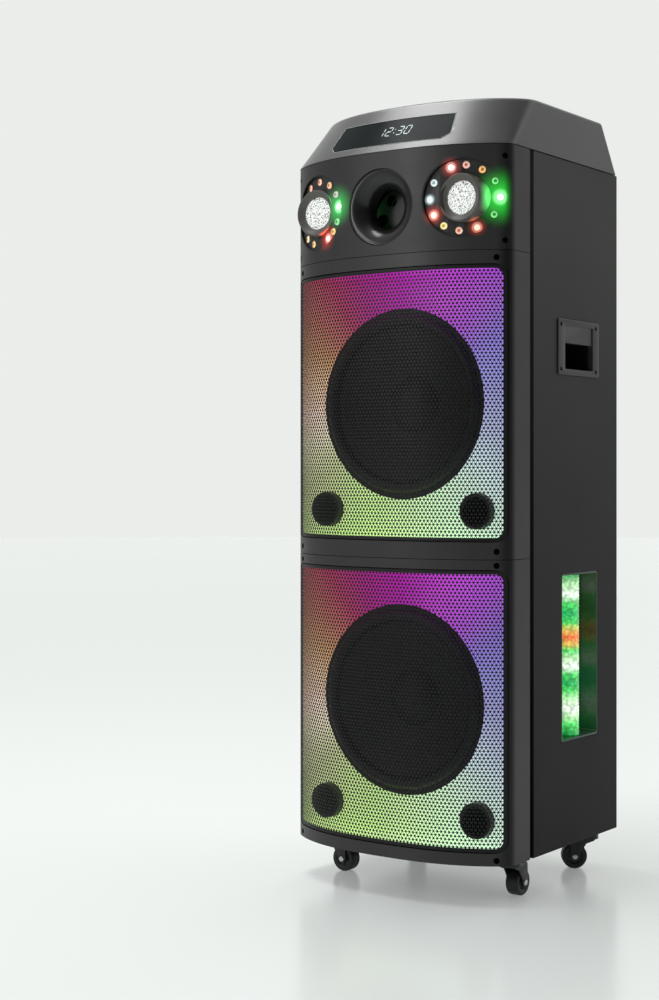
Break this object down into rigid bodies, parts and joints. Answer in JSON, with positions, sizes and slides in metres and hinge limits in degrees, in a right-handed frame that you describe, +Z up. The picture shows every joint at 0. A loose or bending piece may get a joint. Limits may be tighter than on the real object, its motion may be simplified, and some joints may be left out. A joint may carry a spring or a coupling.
{
  "type": "party speaker",
  "caption": "Tall tower speaker on swivel castors, with lit grilles over large woofers, a bubble outlet between spotlights, side handles and side light windows.",
  "frame": {"origin": "on the floor, under the middle of the tower", "axes": "+Z up, the grilles face -Y, and +X is at the right of someone who looks at the grilles"},
  "size_m": [0.3908, 0.395, 1.186],
  "materials": {
    "charcoal_plastic": "fine grained charcoal moulding",
    "black_plastic": "satin black moulding",
    "cabinet_wrap": "fibreboard in a dark vinyl wrap",
    "board": "bare fibreboard",
    "grille_steel": "perforated sheet, powder coated",
    "lit_reflector": "translucent panel lit in a rainbow",
    "woofer_metal": "black pressed steel frame and magnet",
    "rubber": "soft matt roll",
    "woofer_cone": "pulp cone",
    "display_glass": "smoked window",
    "crystal": "clear crackled moulding",
    "wand_plastic": "smooth moulding",
    "tyre": "solid rubber",
    "zinc": "zinc plated pressing",
    "service_panel": "black sheet steel"
  },
  "bodies": {
    "cabinet": {"side_panel_left": "cabinet_wrap", "spotlight_plate_left": "charcoal_plastic", "spotlight_lens_left": "crystal", "handle_left": "black_plastic", "side_light_tray_left": "black_plastic", "side_light_tube_left": "crystal", "side_panel_right": "cabinet_wrap", "spotlight_plate_right": "charcoal_plastic", "spotlight_lens_right": "crystal", "handle_right": "black_plastic", "side_light_tray_right": "black_plastic", "side_light_tube_right": "crystal", "bottom_board": "board", "middle_shelf": "board", "upper_shelf": "board", "rear_panel": "board", "lower_baffle": "board", "lower_light_panel": "lit_reflector", "lower_bezel": "charcoal_plastic", "lower_grille": "grille_steel", "lower_woofer_frame": "woofer_metal", "lower_woofer_surround": "rubber", "lower_port_left": "black_plastic", "lower_port_right": "black_plastic", "upper_baffle": "board", "upper_light_panel": "lit_reflector", "upper_bezel": "charcoal_plastic", "upper_grille": "grille_steel", "upper_woofer_frame": "woofer_metal", "upper_woofer_surround": "rubber", "upper_port_left": "black_plastic", "upper_port_right": "black_plastic", "head_panel": "charcoal_plastic", "top_cap": "charcoal_plastic", "display_window": "display_glass", "bubble_nozzle": "black_plastic", "fan_shroud": "black_plastic", "fluid_tank": "black_plastic", "service_panel": "service_panel", "power_inlet": "black_plastic", "castor_front_left_plate": "zinc", "castor_front_right_plate": "zinc", "castor_rear_left_plate": "zinc", "castor_rear_right_plate": "zinc"},
    "lower_cone": {"lower_woofer_cone": "woofer_cone"},
    "upper_cone": {"upper_woofer_cone": "woofer_cone"},
    "bubble_wheel": {"bubble_wheel": "wand_plastic"},
    "bubble_fan": {"bubble_fan": "black_plastic"},
    "volume_knob": {"volume_knob": "black_plastic"},
    "mode_button": {"mode_button": "black_plastic"},
    "filler_cap": {"filler_cap": "black_plastic"},
    "power_switch": {"power_switch": "black_plastic"},
    "castor_front_left_swivel": {"castor_front_left_fork": "black_plastic"},
    "castor_front_left_roller": {"castor_front_left_wheel": "tyre"},
    "castor_front_right_swivel": {"castor_front_right_fork": "black_plastic"},
    "castor_front_right_roller": {"castor_front_right_wheel": "tyre"},
    "castor_rear_left_swivel": {"castor_rear_left_fork": "black_plastic"},
    "castor_rear_left_roller": {"castor_rear_left_wheel": "tyre"},
    "castor_rear_right_swivel": {"castor_rear_right_fork": "black_plastic"},
    "castor_rear_right_roller": {"castor_rear_right_wheel": "tyre"}
  },
  "joints": [
    {"name": "lower_cone_slide", "type": "slide", "parent": "cabinet", "child": "lower_cone", "axis": [0, -1, 0], "range_m": [-0.004, 0.004], "stiffness_N_per_m": 2500},
    {"name": "upper_cone_slide", "type": "slide", "parent": "cabinet", "child": "upper_cone", "axis": [0, -1, 0], "range_m": [-0.004, 0.004], "stiffness_N_per_m": 2500},
    {"name": "bubble_wheel_spin", "type": "hinge", "parent": "cabinet", "child": "bubble_wheel", "pos_m": [0, -0.138, 1.0145], "axis": [0, -1, 0], "continuous": true},
    {"name": "bubble_fan_spin", "type": "hinge", "parent": "cabinet", "child": "bubble_fan", "pos_m": [0, -0.098, 1.025], "axis": [0, -1, 0], "continuous": true},
    {"name": "volume_knob_turn", "type": "hinge", "parent": "cabinet", "child": "volume_knob", "pos_m": [0.06, 0.012, 1.18], "axis": [0, 0, 1], "range_deg": [-150, 150]},
    {"name": "mode_button_press", "type": "slide", "parent": "cabinet", "child": "mode_button", "axis": [0, 0, -1], "range_m": [0, 0.0015], "stiffness_N_per_m": 400, "springref_m": -0.0005},
    {"name": "filler_cap_turn", "type": "hinge", "parent": "cabinet", "child": "filler_cap", "pos_m": [0, 0.112, 1.18], "axis": [0, 0, 1], "range_deg": [0, 90]},
    {"name": "power_switch_rock", "type": "hinge", "parent": "cabinet", "child": "power_switch", "pos_m": [0.01, 0.1909, 0.215], "axis": [1, 0, 0], "range_deg": [0, 14]},
    {"name": "castor_front_left_swivel_turn", "type": "hinge", "parent": "cabinet", "child": "castor_front_left_swivel", "pos_m": [-0.16, -0.088, 0.05], "axis": [0, 0, 1], "continuous": true},
    {"name": "castor_front_left_wheel_spin", "type": "hinge", "parent": "castor_front_left_swivel", "child": "castor_front_left_roller", "pos_m": [-0.138, -0.088, 0.02], "axis": [0, -1, 0], "continuous": true},
    {"name": "castor_front_right_swivel_turn", "type": "hinge", "parent": "cabinet", "child": "castor_front_right_swivel", "pos_m": [0.16, -0.088, 0.05], "axis": [0, 0, 1], "continuous": true},
    {"name": "castor_front_right_wheel_spin", "type": "hinge", "parent": "castor_front_right_swivel", "child": "castor_front_right_roller", "pos_m": [0.16, -0.066, 0.02], "axis": [1, 0, 0], "continuous": true},
    {"name": "castor_rear_left_swivel_turn", "type": "hinge", "parent": "cabinet", "child": "castor_rear_left_swivel", "pos_m": [-0.163, 0.153, 0.05], "axis": [0, 0, 1], "continuous": true},
    {"name": "castor_rear_left_wheel_spin", "type": "hinge", "parent": "castor_rear_left_swivel", "child": "castor_rear_left_roller", "pos_m": [-0.14886, 0.13615, 0.02], "axis": [-0.766, -0.6428, 0], "continuous": true},
    {"name": "castor_rear_right_swivel_turn", "type": "hinge", "parent": "cabinet", "child": "castor_rear_right_swivel", "pos_m": [0.163, 0.153, 0.05], "axis": [0, 0, 1], "continuous": true},
    {"name": "castor_rear_right_wheel_spin", "type": "hinge", "parent": "castor_rear_right_swivel", "child": "castor_rear_right_roller", "pos_m": [0.1452, 0.14007, 0.02], "axis": [-0.5878, 0.809, 0], "continuous": true}
  ]
}
